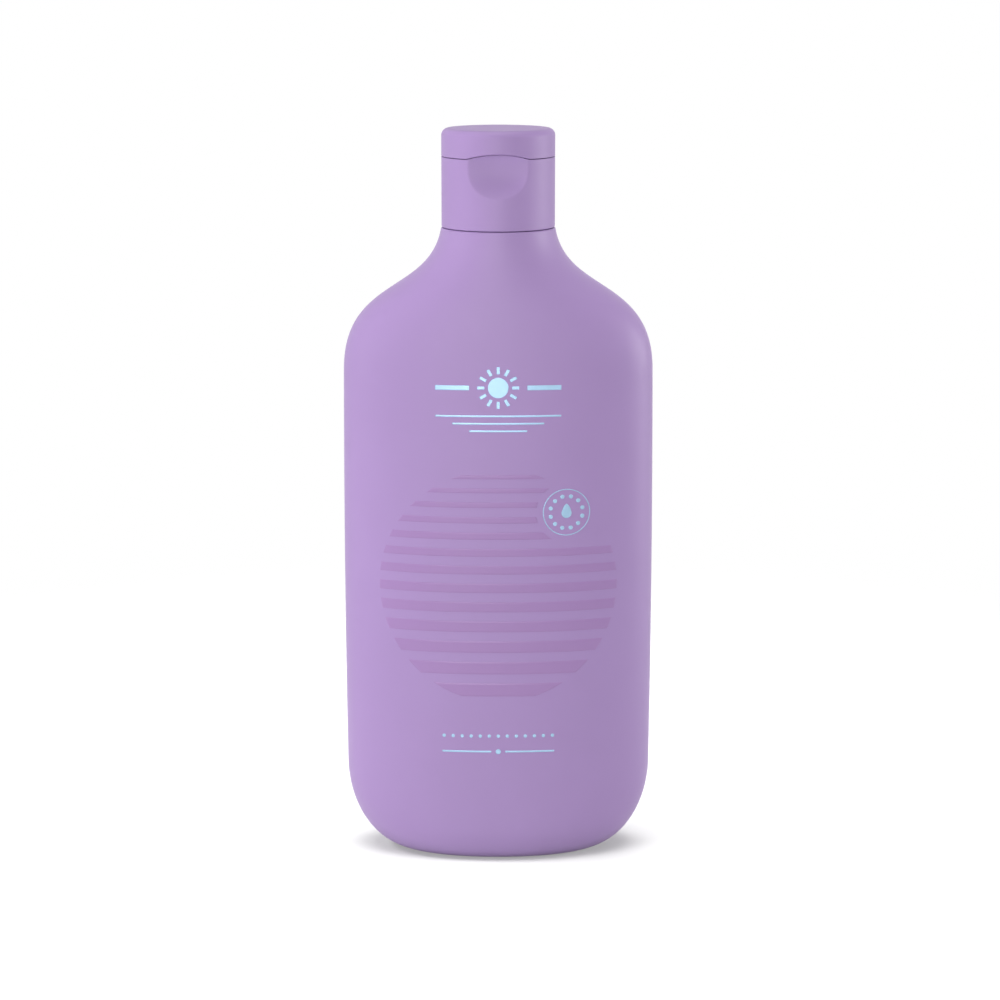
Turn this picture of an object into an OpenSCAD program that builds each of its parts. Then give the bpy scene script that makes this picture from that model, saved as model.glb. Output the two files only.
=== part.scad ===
// Flat oval lotion bottle with a screw-on flip-top closure.
// Millimetres, +Z up, front towards -Y. The origin is the middle of the base, on the surface it stands on.

/* [Body] */
// Greatest width of the body, side to side
body_w = 70.9; // [64:0.1:80]
// Greatest depth of the body, front to back
body_d = 31; // [29:0.5:38]
// Height at which the body is widest
widest_z = 65; // [45:1:90]
// How far each side draws in from the widest place down to the heel
heel_draw = 0.25; // [0:0.05:1]
// How far each side draws in from the widest place up to the shoulder
shoulder_draw = 0.25; // [0:0.05:1]
// Squareness of the body's oval, where 2 is a true ellipse
squareness = 2.15; // [2:0.05:2.5]
// Thickness of the blown wall
wall = 1; // [0.8:0.1:1.4]

/* [Heel and base] */
// How far the heel's curve comes in from each side
heel_side_in = 14.4; // [10:0.1:17]
// Height of the heel's curve at the sides
heel_side_h = 20.2; // [14:0.1:26]
// How far the heel's curve comes in from front and back
heel_front_in = 4.5; // [3:0.1:6]
// Height of the heel's curve at front and back
heel_front_h = 8; // [5:0.5:12]
// Width of the flat ring that the bottle stands on
standing_w = 2.6; // [1.6:0.1:3.4]
// Height of the hollow in the base
push_up = 2.5; // [1.5:0.1:4]

/* [Shoulder] */
// Height at which the shoulder begins
shoulder_z = 113; // [104:0.5:118]
// Height of the ledge under the closure
ledge_z = 145.4; // [142:0.2:156]
// Upward pull on the shoulder's curve where it leaves the body
shoulder_pull = 21.1; // [17:0.1:23]
// Downward pull on the shoulder's curve where it meets the ledge
throat_pull = 15.3; // [11:0.1:18]
// Spread of the shoulder's curve to each side, just below the ledge
throat_spread_x = 2.8; // [1:0.05:6]
// Spread of the shoulder's curve to front and back, just below the ledge
throat_spread_y = 0.9; // [0.3:0.1:1.6]
// How far the ledge's rim stands out past the closure
ledge_out = 0.1; // [0:0.05:0.3]
// Rounding of the ledge's outer edge
ledge_round = 0.4; // [0.2:0.1:0.8]

/* [Neck] */
// Diameter of the neck between its threads
neck_d = 18.4; // [17.6:0.1:19]
// Diameter of the bore through the neck
bore_d = 14.2; // [13:0.1:15]
// Height of the neck above the ledge
neck_h = 14.2; // [13:0.1:16]
// Rounding at the neck's mouth, taken as a chamfer
neck_chamfer = 0.4; // [0.2:0.1:0.6]

/* [Thread] */
// Rise of the thread in one turn
pitch = 3.175; // [2.8:0.025:3.6]
// Turns of thread on the neck and in the closure
thread_turns = 1.5; // [1:0.25:1.75]
// How far the neck's thread stands out
thread_depth = 0.8; // [0.6:0.05:1]
// Width of a thread ridge at its root
ridge_root_w = 1.4; // [1.1:0.05:1.5]
// Width of a thread ridge at its crest
ridge_crest_w = 0.65; // [0.4:0.05:0.8]
// Distance from the neck's mouth down to the thread's top turn
thread_drop = 1.6; // [1.2:0.1:2]

/* [Gasket] */
// Thickness of the sealing ring
gasket_t = 1; // [0.6:0.1:1.6]
// Gap between the sealing ring's rim and the closure's inside wall
gasket_rim_gap = 0.2; // [0.1:0.05:0.5]

/* [Closure base] */
// Outside diameter of the closure
closure_d = 25.6; // [25:0.1:27]
// Height of the screw-on part of the closure
closure_h = 15.7; // [15:0.1:17]
// Gap between the ledge and the closure's skirt
skirt_gap = 0.15; // [0.15:0.05:0.8]
// Thickness of the skirt below its thread
skirt_wall = 1.4; // [1:0.1:1.8]
// Height of the thinner part of the skirt
skirt_open_h = 4.6; // [3:0.1:5]
// Rounding of the skirt's lower edge
skirt_round = 0.2; // [0.2:0.05:0.6]
// Height that the deck stands above the split between base and lid
deck_rise = 1; // [0.6:0.05:1.2]
// Depth of the dish round the nozzle
dish_depth = 0.5; // [0.3:0.05:0.8]
// Height of the sealing spigot below the deck
spigot_h = 4; // [3:0.1:5]
// Wall of the sealing spigot
spigot_wall = 1.1; // [0.8:0.05:1.4]

/* [Nozzle] */
// Outside diameter of the nozzle
nozzle_d = 5.8; // [5.2:0.1:6.4]
// Diameter of the opening that the lotion comes out of
orifice_d = 3.4; // [2.6:0.1:3.8]
// Height of the nozzle above the deck
nozzle_h = 1.7; // [1.4:0.1:2.2]

/* [Thumb scoop] */
// Depth of the scoop below the closure's round face
scoop_depth = 2.05; // [1.4:0.05:2.2]
// Radius of the scoop's hollow
scoop_r = 9.5; // [8:0.1:12]
// Distance from the split down to the deepest line of the scoop
scoop_drop = 2.4; // [1:0.1:3]
// Rise of the arch in the lid's edge over the scoop
arch_h = 1; // [0.5:0.1:1.6]
// How far the arch goes back past the scoop's floor
arch_depth = 1; // [0.8:0.1:1.4]
// Gap between the sill over the scoop and the arch in the lid's edge
sill_gap = 0.2; // [0.15:0.05:0.4]

/* [Lid] */
// Height of the lid
lid_h = 6.2; // [5.9:0.05:8]
// Thickness of the lid's side wall
lid_wall = 1.6; // [1.3:0.1:1.8]
// Thickness of the lid's top
lid_top_t = 1.1; // [1:0.1:1.3]
// Rounding of the lid's top edge
lid_round = 1.6; // [0.6:0.1:2]
// Gap at the split between the base and the lid
split_gap = 0.15; // [0.1:0.05:0.4]
// How far the lid's pin reaches into the nozzle
pin_reach = 0.9; // [0.5:0.1:1.2]
// Wall of the ring that closes round the nozzle
collar_wall = 0.8; // [0.6:0.1:1]
// How far the lid's ring reaches down round the nozzle
collar_reach = 1.1; // [0.8:0.1:1.3]

/* [Hinge] */
// Depth of the flat that the hinge is set in, below the closure's round face
hinge_flat = 0.67; // [0.5:0.01:0.8]
// Height of the hinge's flat below the split
hinge_flat_h = 3.4; // [2.8:0.1:4]
// Thickness of a hinge film
film_t = 0.3; // [0.2:0.05:0.4]
// Width of a hinge film
film_w = 1.3; // [1:0.1:1.5]
// Height of a hinge film
film_h = 1.2; // [0.8:0.1:1.6]
// Distance from the middle of the hinge to the middle of a film
film_x = 3; // [2.8:0.05:3.1]
// Thickness of the snap strap
strap_t = 0.4; // [0.3:0.05:0.45]
// Width of the snap strap
strap_w = 3; // [2.4:0.1:3.2]
// Height of the snap strap
strap_h = 4.6; // [3.6:0.1:5]

/* [Clearances] */
// Gap round the neck's thread inside the closure
thread_gap = 0.2; // [0.15:0.01:0.3]
// Gap between the flanks of the two threads
flank_gap = 0.2; // [0.15:0.01:0.3]
// Gap between the spigot and the bore
spigot_gap = 0.1; // [0.05:0.01:0.2]
// Gap between the lid's inside and the snap bead
bead_gap = 0.2; // [0.15:0.01:0.3]
// How far the snap bead stands out
bead_out = 0.3; // [0.2:0.05:0.4]
// Gap between the lid's pin or ring and the nozzle
plug_gap = 0.25; // [0.2:0.01:0.35]
// Gap round the hinge pieces in their pockets
pocket_gap = 0.1; // [0.05:0.01:0.15]

/* [Hidden] */
lilac = [0.68, 0.57, 0.76];
foam_white = [0.93, 0.92, 0.9];
round_fn = 96;
outer_sides = 48;
inner_sides = 36;
thread_steps = 24;
thread_fade = 4;
embed = 0.3;
edge = 0.15;

closure_r = closure_d / 2;
ledge_r = closure_r + ledge_out;
neck_r = neck_d / 2;
bore_r = bore_d / 2;
neck_top = ledge_z + neck_h;
crest_r = neck_r + thread_depth;
cavity_r = crest_r + thread_gap;
inner_crest_r = neck_r + thread_gap;
thread_low_z = neck_top - thread_drop - pitch * thread_turns;
flank_step = (ridge_root_w + ridge_crest_w) / 2 - (ridge_root_w - ridge_crest_w) * thread_gap / thread_depth / 2;
inner_thread_low_z = thread_low_z - flank_step - flank_gap;

deck_under = neck_top + gasket_t;
skirt_low = ledge_z + skirt_gap;
rim_z = skirt_low + closure_h;
deck_z = rim_z + deck_rise;
dish_z = deck_z - dish_depth;
spigot_r = bore_r - spigot_gap;
spigot_in_r = spigot_r - spigot_wall;
nozzle_r = nozzle_d / 2;
orifice_r = orifice_d / 2;
nozzle_top = deck_z + nozzle_h;

lid_low = rim_z + split_gap;
lid_top = lid_low + lid_h;
ceiling_z = lid_top - lid_top_t;
lid_in_r = closure_r - lid_wall;
bead_r = lid_in_r - bead_gap;
plateau_r = bead_r - bead_out;
pin_r = orifice_r - plug_gap;
collar_in_r = nozzle_r + plug_gap;
collar_r = collar_in_r + collar_wall;

scoop_y = -(closure_r - scoop_depth);
scoop_half_w = sqrt(closure_r * closure_r - scoop_y * scoop_y);
arch_r = (scoop_half_w * scoop_half_w + arch_h * arch_h) / (2 * arch_h);
arch_back_y = scoop_y + arch_depth;

hinge_y = closure_r - hinge_flat;
split_mid = (rim_z + lid_low) / 2;
film_low = split_mid - film_h / 2;
strap_low = split_mid - strap_h / 2;

// A curve through four pulls, at share t of its way
function bezier(a, b, c, d, t) =
    a * pow(1 - t, 3) + 3 * b * t * pow(1 - t, 2) + 3 * c * t * t * (1 - t) + d * pow(t, 3);

// How far a quarter-oval heel has come in at height z
function heel_in(z, inward, rise) = z >= rise ? 0 : inward * (1 - sqrt(1 - pow((rise - z) / rise, 2)));

// How far the side has drawn in from its widest place at height z
function side_draw(z) = z < widest_z
    ? heel_draw * pow((widest_z - z) / (widest_z - heel_side_h), 2)
    : shoulder_draw * pow((z - widest_z) / (shoulder_z - widest_z), 2);

function half_w(z) = body_w / 2 - side_draw(z) - heel_in(z, heel_side_in, heel_side_h);
function half_d(z) = body_d / 2 - side_draw(z) * body_d / body_w - heel_in(z, heel_front_in, heel_front_h);

// Each ring of the body is [half width, half depth, squareness, height]
stand_w = half_w(0);
stand_d = half_d(0);
hollow_rings = [for (s = [0.25, 0.6, 0.85, 1])
    [(stand_w - standing_w) * s, (stand_d - standing_w) * s, squareness, push_up * pow(cos(90 * s), 0.8)]];
heel_rings = [for (a = [90, 84, 76, 66, 54, 40, 25, 12, 0])
    let (z = heel_side_h * (1 - sin(a))) [half_w(z), half_d(z), squareness, z]];
side_rings = [for (s = [0.2, 0.4, 0.6, 0.8])
    let (z = heel_side_h + (shoulder_z - heel_side_h) * s) [half_w(z), half_d(z), squareness, z]];
draw_slope = 2 * shoulder_draw / (shoulder_z - widest_z);
shoulder_rings = [for (i = [0 : 13]) let (t = i / 13)
    [bezier(half_w(shoulder_z), half_w(shoulder_z) - draw_slope * shoulder_pull, ledge_r + throat_spread_x,
        ledge_r, t),
    bezier(half_d(shoulder_z), half_d(shoulder_z) - draw_slope * shoulder_pull * body_d / body_w,
        ledge_r + throat_spread_y, ledge_r, t),
    squareness + (2 - squareness) * t,
    bezier(shoulder_z, shoulder_z + shoulder_pull, ledge_z - throat_pull, ledge_z - ledge_round, t)]];
ledge_rings = [for (a = [45, 90])
    let (r = ledge_r - ledge_round * (1 - cos(a))) [r, r, 2, ledge_z - ledge_round * (1 - sin(a))]];
wall_rings = concat(heel_rings, side_rings, shoulder_rings);

// The inside follows the outside, a wall's thickness in, and a wall's thickness up at the heel or down at the top
function inside_shift(z) = wall * (1 - 2 * min(1, max(0, (z - heel_side_h) / (shoulder_z - heel_side_h))));
inside_rings = [for (i = [0 : 2 : len(wall_rings) - 1]) let (r = wall_rings[i])
    [r[0] - wall, r[1] - wall, r[2], r[3] + inside_shift(r[3])]];
throat_z = ledge_z - wall;
throat_ring = [bore_r - embed, bore_r - embed, 2, throat_z];

function ring_points(ring, sides) = [for (i = [0 : sides - 1])
    let (c = cos(360 * i / sides), s = sin(360 * i / sides), p = 2 / ring[2])
    [ring[0] * sign(c) * pow(abs(c), p), ring[1] * sign(s) * pow(abs(s), p), ring[3]]];

// A closed solid that passes through a list of rings, from the lowest to the highest
module loft(rings, sides) {
    points = [for (ring = rings) each ring_points(ring, sides)];
    last = len(rings) - 1;
    walls = [for (k = [0 : last - 1], i = [0 : sides - 1])
        let (a = k * sides + i, b = k * sides + (i + 1) % sides) each [[a, b + sides, b], [a, a + sides, b + sides]]];
    bottom = [for (i = [0 : sides - 1]) i];
    top = [for (i = [sides - 1 : -1 : 0]) last * sides + i];
    polyhedron(points, concat(walls, [bottom, top]));
}

// A thread ridge that climbs round +Z. It stands outwards where tip_r is the larger radius, and inwards where not
module screw_ridge(foot_r, tip_r, low_z) {
    steps = ceil(thread_steps * thread_turns);
    way = tip_r > foot_r ? 1 : -1;
    points = [for (i = [0 : steps])
        let (
            a = 360 * thread_turns * i / steps,
            z = low_z + pitch * thread_turns * i / steps,
            fade = max(0.05, min(1, i / thread_fade, (steps - i) / thread_fade)),
            r = foot_r + (tip_r - foot_r) * fade,
            root = way * ridge_root_w / 2,
            crest = way * ridge_crest_w / 2
        )
        each [
            [foot_r * cos(a), foot_r * sin(a), z - root],
            [r * cos(a), r * sin(a), z - crest],
            [r * cos(a), r * sin(a), z + crest],
            [foot_r * cos(a), foot_r * sin(a), z + root]
        ]];
    sides = [for (k = [0 : steps - 1], i = [0 : 3])
        let (a = 4 * k + i, b = 4 * k + (i + 1) % 4) each [[a, b, b + 4], [a, b + 4, a + 4]]];
    ends = [[3, 2, 1, 0], [for (i = [0 : 3]) 4 * steps + i]];
    polyhedron(points, concat(sides, ends));
}

// Points of a rounded corner with its centre at [r, z], from angle a to angle b
function corner(r, z, radius, a, b, parts = 6) =
    [for (i = [0 : parts]) let (t = a + (b - a) * i / parts) [r + radius * cos(t), z + radius * sin(t)]];

module neck_blank() {
    rotate_extrude($fn = round_fn)
    polygon([
        [0, ledge_z - wall / 2],
        [neck_r, ledge_z - wall / 2],
        [neck_r, neck_top - neck_chamfer],
        [neck_r - neck_chamfer, neck_top],
        [0, neck_top]
    ]);
}

module bottle_shell() {
    color(lilac)
    difference() {
        union() {
            loft(concat(hollow_rings, wall_rings, ledge_rings), outer_sides);
            neck_blank();
            screw_ridge(neck_r - embed, crest_r, thread_low_z);
        }
        loft(concat([for (r = hollow_rings) [r[0], r[1], r[2], r[3] + wall]], inside_rings, [throat_ring]),
            inner_sides);
        translate([0, 0, throat_z - 2 * wall])
        cylinder(r = bore_r, h = neck_h + 4 * wall, $fn = round_fn);
    }
}

module neck_gasket() {
    color(foam_white)
    translate([0, 0, neck_top])
    difference() {
        cylinder(r = cavity_r - gasket_rim_gap, h = gasket_t, $fn = round_fn);
        translate([0, 0, -1])
        cylinder(r = bore_r, h = gasket_t + 2, $fn = round_fn);
    }
}

closure_profile = concat(
    [
        [orifice_r, deck_under],
        [spigot_in_r, deck_under],
        [spigot_in_r, deck_under - spigot_h],
        [spigot_r - 2 * edge, deck_under - spigot_h],
        [spigot_r, deck_under - spigot_h + 4 * edge],
        [spigot_r, deck_under],
        [cavity_r, deck_under],
        [cavity_r, skirt_low + skirt_open_h],
        [closure_r - skirt_wall, skirt_low + skirt_open_h - 2 * edge],
        [closure_r - skirt_wall, skirt_low]
    ],
    corner(closure_r - skirt_round, skirt_low + skirt_round, skirt_round, -90, 0),
    [
        [closure_r, rim_z - edge],
        [closure_r - edge, rim_z],
        [plateau_r, rim_z],
        [plateau_r, rim_z + edge],
        [bead_r, rim_z + deck_rise / 2],
        [plateau_r, deck_z - edge],
        [plateau_r - edge, deck_z],
        [plateau_r - 1.5, deck_z],
        [plateau_r - 2, dish_z],
        [nozzle_r + edge, dish_z],
        [nozzle_r, dish_z + edge],
        [nozzle_r, nozzle_top - 2 * edge],
        [nozzle_r - 2 * edge, nozzle_top],
        [orifice_r + edge, nozzle_top],
        [orifice_r, nozzle_top - edge]
    ]);

// The hollow for the thumb: a long cylinder laid across the front, carried straight up past the split
module scoop_cut() {
    translate([0, scoop_y - scoop_r, rim_z - scoop_drop]) {
        rotate([0, 90, 0])
        cylinder(r = scoop_r, h = closure_d, center = true, $fn = round_fn);
        translate([-closure_r, -scoop_r, 0])
        cube([closure_d, 2 * scoop_r, scoop_drop + deck_rise + 1]);
    }
}

// The arch over the scoop: all that lies under it, in front of back_y and lowered by gap
module arch_front(back_y, gap) {
    translate([0, back_y, lid_low + arch_h - arch_r - gap])
    rotate([90, 0, 0])
    cylinder(r = arch_r, h = closure_r, $fn = round_fn);
}

// The sill over the scoop, which fills the arch in the lid's edge up to its gap
module scoop_sill() {
    intersection() {
        arch_front(arch_back_y - sill_gap, sill_gap);
        translate([0, 0, rim_z - edge])
        difference() {
            cylinder(r = closure_r - edge, h = arch_h + 2 * edge, $fn = round_fn);
            translate([0, 0, -edge])
            cylinder(r = plateau_r - edge / 2, h = arch_h + 4 * edge, $fn = round_fn);
        }
    }
}

// The flat at the back, from height low to height high
module hinge_flat_cut(low, high) {
    translate([-closure_r, hinge_y, low])
    cube([closure_d, closure_r, high - low]);
}

// Pockets for the hinge pieces, cut from the flat, from height low to height high
module hinge_pockets(strap_from, strap_to, film_from, film_to) {
    translate([-strap_w / 2 - pocket_gap, hinge_y - strap_t - 2 * pocket_gap, strap_from])
    cube([strap_w + 2 * pocket_gap, closure_r, strap_to - strap_from]);
    for (side = [-1, 1])
    translate([side * film_x - film_w / 2 - pocket_gap, hinge_y - film_t - pocket_gap, film_from])
    cube([film_w + 2 * pocket_gap, closure_r, film_to - film_from]);
}

module closure_base() {
    color(lilac) {
        difference() {
            union() {
                rotate_extrude($fn = round_fn)
                polygon(closure_profile);
                scoop_sill();
            }
            scoop_cut();
            hinge_flat_cut(rim_z - hinge_flat_h, rim_z + 1);
            hinge_pockets(strap_low, rim_z + 1, film_low, rim_z + 1);
        }
        screw_ridge(cavity_r + embed, inner_crest_r, inner_thread_low_z);
    }
}

module flip_lid() {
    color(lilac)
    difference() {
        rotate_extrude($fn = round_fn)
        polygon(concat(
            [
                [0, nozzle_top - pin_reach],
                [pin_r - 2 * edge, nozzle_top - pin_reach],
                [pin_r, nozzle_top - pin_reach + 2 * edge],
                [pin_r, ceiling_z],
                [collar_in_r, ceiling_z],
                [collar_in_r, nozzle_top - collar_reach],
                [collar_r, nozzle_top - collar_reach],
                [collar_r, ceiling_z],
                [lid_in_r - 2 * edge, ceiling_z],
                [lid_in_r, ceiling_z - 2 * edge],
                [lid_in_r, lid_low],
                [closure_r - edge, lid_low],
                [closure_r, lid_low + edge]
            ],
            corner(closure_r - lid_round, lid_top - lid_round, lid_round, 0, 90),
            [[0, lid_top]]
        ));
        arch_front(arch_back_y, 0);
        hinge_flat_cut(lid_low - 1, lid_low + hinge_flat_h);
        hinge_pockets(lid_low - 1, strap_low + strap_h, lid_low - 1, film_low + film_h);
    }
}

module hinge_film(side) {
    color(lilac)
    translate([side * film_x - film_w / 2, hinge_y - film_t, film_low])
    cube([film_w, film_t, film_h]);
}

module hinge_film_left() {
    hinge_film(-1);
}

module hinge_film_right() {
    hinge_film(1);
}

module snap_strap() {
    color(lilac)
    translate([-strap_w / 2, hinge_y - strap_t - pocket_gap, strap_low])
    cube([strap_w, strap_t, strap_h]);
}

bottle_shell();
neck_gasket();
closure_base();
flip_lid();
hinge_film_left();
hinge_film_right();
snap_strap();
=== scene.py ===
import math

import bmesh
import bpy
import numpy as np
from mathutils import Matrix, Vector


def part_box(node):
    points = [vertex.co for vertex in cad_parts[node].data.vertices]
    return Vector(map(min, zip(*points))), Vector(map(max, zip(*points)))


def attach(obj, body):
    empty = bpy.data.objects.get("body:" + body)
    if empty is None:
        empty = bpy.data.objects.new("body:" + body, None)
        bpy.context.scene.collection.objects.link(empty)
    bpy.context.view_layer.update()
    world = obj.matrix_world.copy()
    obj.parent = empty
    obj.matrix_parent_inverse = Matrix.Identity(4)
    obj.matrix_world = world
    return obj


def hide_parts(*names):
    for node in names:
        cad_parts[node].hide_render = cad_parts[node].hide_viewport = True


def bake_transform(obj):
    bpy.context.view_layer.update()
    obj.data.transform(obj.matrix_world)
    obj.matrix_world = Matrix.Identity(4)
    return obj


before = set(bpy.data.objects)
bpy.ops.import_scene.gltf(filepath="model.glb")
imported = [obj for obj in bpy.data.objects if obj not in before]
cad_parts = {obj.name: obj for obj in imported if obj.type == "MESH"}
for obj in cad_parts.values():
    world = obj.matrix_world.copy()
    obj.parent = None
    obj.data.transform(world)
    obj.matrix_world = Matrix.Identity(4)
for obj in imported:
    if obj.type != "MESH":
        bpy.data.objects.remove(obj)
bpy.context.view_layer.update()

MM = 0.001


# Bottle: one blow-moulded shell of lilac polyethylene, oval in the body and round at the neck.
# The two mould halves meet in a fine line up both sides, and the base keeps the pinched-off seam.
# The neck carries one and a half turns of a right-hand thread for the closure.
shell_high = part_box("bottle_shell")[1]
closure_low, closure_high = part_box("closure_base")
body_half_w = shell_high.x
body_half_d = shell_high.y
neck_top = shell_high.z
closure_r = closure_high.x
widest_z = 65 * MM
side_draw_most = 0.25 * MM
oval_power = 2.15
wall = 1.0 * MM
heel_side_in, heel_side_h = 14.4 * MM, 20.2 * MM
heel_front_in, heel_front_h = 4.5 * MM, 8 * MM
standing_w = 2.6 * MM
push_up = 2.5 * MM
shoulder_z = 113 * MM
ledge_z = neck_top - 14.2 * MM
ledge_r = closure_r + 0.1 * MM
ledge_round = 0.4 * MM
shoulder_pull = 21.1 * MM
throat_pull = 15.3 * MM
throat_spread_x, throat_spread_y = 2.8 * MM, 0.9 * MM
neck_r = 9.2 * MM
bore_r = 7.1 * MM
neck_fillet = 0.6 * MM
mouth_round = 0.4 * MM
thread_pitch = 3.175 * MM
thread_turns = 1.5
thread_depth = 0.8 * MM
thread_root_w, thread_crest_w = 1.4 * MM, 0.65 * MM
thread_drop = 1.6 * MM
thread_fade = math.radians(40)
thread_low_z = neck_top - thread_drop - thread_pitch * thread_turns
seam_h, seam_w = 0.05 * MM, 0.16 * MM
pinch_h, pinch_w = 0.3 * MM, 0.4 * MM


def heel_in(z, inward, rise):
    """How far a quarter-oval heel has come in at height z: nothing above its rise, all at z = 0."""
    down = np.clip((rise - z) / rise, 0, 1)
    return inward * (1 - np.sqrt(1 - down ** 2))


def side_draw(z):
    """The side leaves its widest height as a parabola, and has drawn in by side_draw_most at its ends."""
    span = np.where(z < widest_z, widest_z - heel_side_h, shoulder_z - widest_z)
    return side_draw_most * ((z - widest_z) / span) ** 2


def half_w(z):
    """Half the body's width at height z: the widest, less what side and heel have drawn in."""
    return body_half_w - side_draw(z) - heel_in(z, heel_side_in, heel_side_h)


def half_d(z):
    """Half the body's depth at height z. Its side draws in by the same share as the width's."""
    draw = side_draw(z) * body_half_d / body_half_w
    return body_half_d - draw - heel_in(z, heel_front_in, heel_front_h)


def bezier(a, b, c, d, t):
    """A cubic curve from a to d, pulled towards b as it leaves and towards c as it arrives."""
    return a * (1 - t) ** 3 + 3 * b * t * (1 - t) ** 2 + 3 * c * t ** 2 * (1 - t) + d * t ** 3


def rings(a, b, power, z):
    """Rows of [half width, half depth, oval power, height], one row for each ring of a skin."""
    return np.stack(np.broadcast_arrays(*(np.atleast_1d(v).astype(float) for v in (a, b, power, z))), 1)


def round_rings(r, z):
    """Rings that are circles of radius r."""
    return rings(r, r, 2.0, z)


def screw_rise(turn, z, low_z):
    """Height of a thread ridge, from 0 to 1, at angle turn and height z: a trapezoid across a helix that
    climbs from low_z by one pitch a turn, rounded by a smooth step and faded out at both ends."""
    rise = np.zeros(np.broadcast(turn, z).shape)
    for lap in (0, 2 * math.pi):
        along = turn + lap
        off = np.abs(z - low_z - thread_pitch * along / (2 * math.pi))
        share = np.clip((thread_root_w / 2 - off) / ((thread_root_w - thread_crest_w) / 2), 0, 1)
        fade = np.clip(np.minimum(along, 2 * math.pi * thread_turns - along) / thread_fade, 0, 1)
        rise = np.maximum(rise, share ** 2 * (3 - 2 * share) * fade)
    return rise


crease_turn = math.radians(38)


def weld(name, parts):
    """One mesh of closed skins. Each part is (points, joined): a grid of points [row, column, xyz] whose
    columns wrap round. Where joined, the last row meets the first. Otherwise each end row closes on its
    middle. Edges sharper than crease_turn stay sharp."""
    vertices, faces, start = [], [], 0
    for points, joined in parts:
        rows, columns = points.shape[:2]
        at = start + np.arange(rows * columns).reshape(rows, columns)
        lower, upper = (at, np.roll(at, -1, 0)) if joined else (at[:-1], at[1:])
        quads = np.stack([lower, np.roll(lower, -1, 1), np.roll(upper, -1, 1), upper], -1)
        faces += quads.reshape(-1, 4).tolist()
        vertices.append(points.reshape(-1, 3))
        start += rows * columns
        if not joined:
            vertices.append(np.stack([points[0].mean(0), points[-1].mean(0)]))
            faces += np.stack([np.full(columns, start), np.roll(at[0], -1), at[0]], -1).tolist()
            faces += np.stack([np.full(columns, start + 1), at[-1], np.roll(at[-1], -1)], -1).tolist()
            start += 2
    mesh = bpy.data.meshes.new(name)
    mesh.from_pydata(np.vstack(vertices).tolist(), [], faces)
    mesh.polygons.foreach_set("use_smooth", np.ones(len(mesh.polygons), bool))
    mesh.update()
    mesh.set_sharp_from_angle(angle=crease_turn)
    piece = bpy.data.objects.new(name, mesh)
    bpy.context.scene.collection.objects.link(piece)
    return piece


def even_turns(count):
    """Angles of an oval's points that lie about evenly along its edge, from 0 to a full turn."""
    fine = np.linspace(0, 2 * math.pi, 4001)
    x = body_half_w * np.cos(fine)
    y = body_half_d * np.sin(fine)
    length = np.concatenate([[0], np.cumsum(np.hypot(np.diff(x), np.diff(y)))])
    return np.interp(np.linspace(0, length[-1], count + 1)[:-1], length, fine)


def oval_points(table, turns):
    """Each ring's points: x is the half width times the cosine of the turn, and y the half depth times its
    sine. Both cosine and sine are first raised to 2 over the oval power, and keep their signs."""
    a, b, n, z = (table[:, i, None] for i in range(4))
    c, s = np.cos(turns)[None], np.sin(turns)[None]
    x = a * np.sign(c) * np.abs(c) ** (2 / n)
    y = b * np.sign(s) * np.abs(s) ** (2 / n)
    return np.stack([x, y, np.broadcast_to(z, x.shape)], -1)


seam_turns = np.radians([-1.2, -0.75, -0.45, -0.25, -0.1, 0.1, 0.25, 0.45, 0.75, 1.2])
bottle_turns = even_turns(168)
from_side = np.abs((bottle_turns + math.pi / 2) % math.pi - math.pi / 2)
clear_of_seam = from_side > math.radians(1.6)
bottle_turns = np.sort(np.concatenate([
    bottle_turns[clear_of_seam], [0, math.pi], seam_turns % (2 * math.pi), seam_turns + math.pi]))

stand_w, stand_d = float(half_w(0)), float(half_d(0))
share = np.linspace(0.04, 1, 12)
hollow = rings((stand_w - standing_w) * share, (stand_d - standing_w) * share, oval_power,
               push_up * (1 + np.cos(math.pi * share ** 1.6)) / 2)
share_in = np.array([0.7, 0.35, 0.1])
standing = rings(stand_w - standing_w * share_in, stand_d - standing_w * share_in, oval_power, 0)
heel_z = heel_side_h * (1 - np.sin(np.radians(np.linspace(90, 0, 34))))
heel = rings(half_w(heel_z), half_d(heel_z), oval_power, heel_z)
body_z = np.linspace(heel_side_h, shoulder_z, 44)[1:-1]
body = rings(half_w(body_z), half_d(body_z), oval_power, body_z)
t = np.linspace(0, 1, 60)
start_slope = 2 * side_draw_most / (shoulder_z - widest_z)
start_w, start_d = float(half_w(shoulder_z)), float(half_d(shoulder_z))
shoulder = rings(
    bezier(start_w, start_w - start_slope * shoulder_pull, ledge_r + throat_spread_x, ledge_r, t),
    bezier(start_d, start_d - start_slope * shoulder_pull * body_half_d / body_half_w,
           ledge_r + throat_spread_y, ledge_r, t),
    oval_power + (2 - oval_power) * t,
    bezier(shoulder_z, shoulder_z + shoulder_pull, ledge_z - throat_pull, ledge_z - ledge_round, t))
bend = np.radians(np.linspace(10, 90, 9))
curve_in, curve_up = 1 - np.cos(bend), 1 - np.sin(bend)
ledge = round_rings(ledge_r - ledge_round * curve_in, ledge_z - ledge_round * curve_up)
fillet = round_rings(neck_r + neck_fillet * curve_up, ledge_z + neck_fillet * curve_in)
neck_z = np.arange(ledge_z + 1 * MM, neck_top - 0.5 * MM, 0.14 * MM)
neck = round_rings(neck_r, neck_z)
mouth = round_rings(
    np.concatenate([neck_r - mouth_round * curve_in, bore_r + mouth_round * curve_up]),
    np.concatenate([neck_top - mouth_round * curve_up, neck_top - mouth_round * curve_in]))
bore = round_rings(bore_r, np.linspace(neck_top - 1 * MM, ledge_z, 8))
throat = round_rings(np.linspace(bore_r + 0.6 * MM, ledge_r - 1.6 * MM, 4),
                     np.linspace(ledge_z - 0.4 * MM, ledge_z - 1.2 * MM, 4))
outside = np.vstack([heel, body, shoulder])
lining = outside[::-3].copy()
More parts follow.
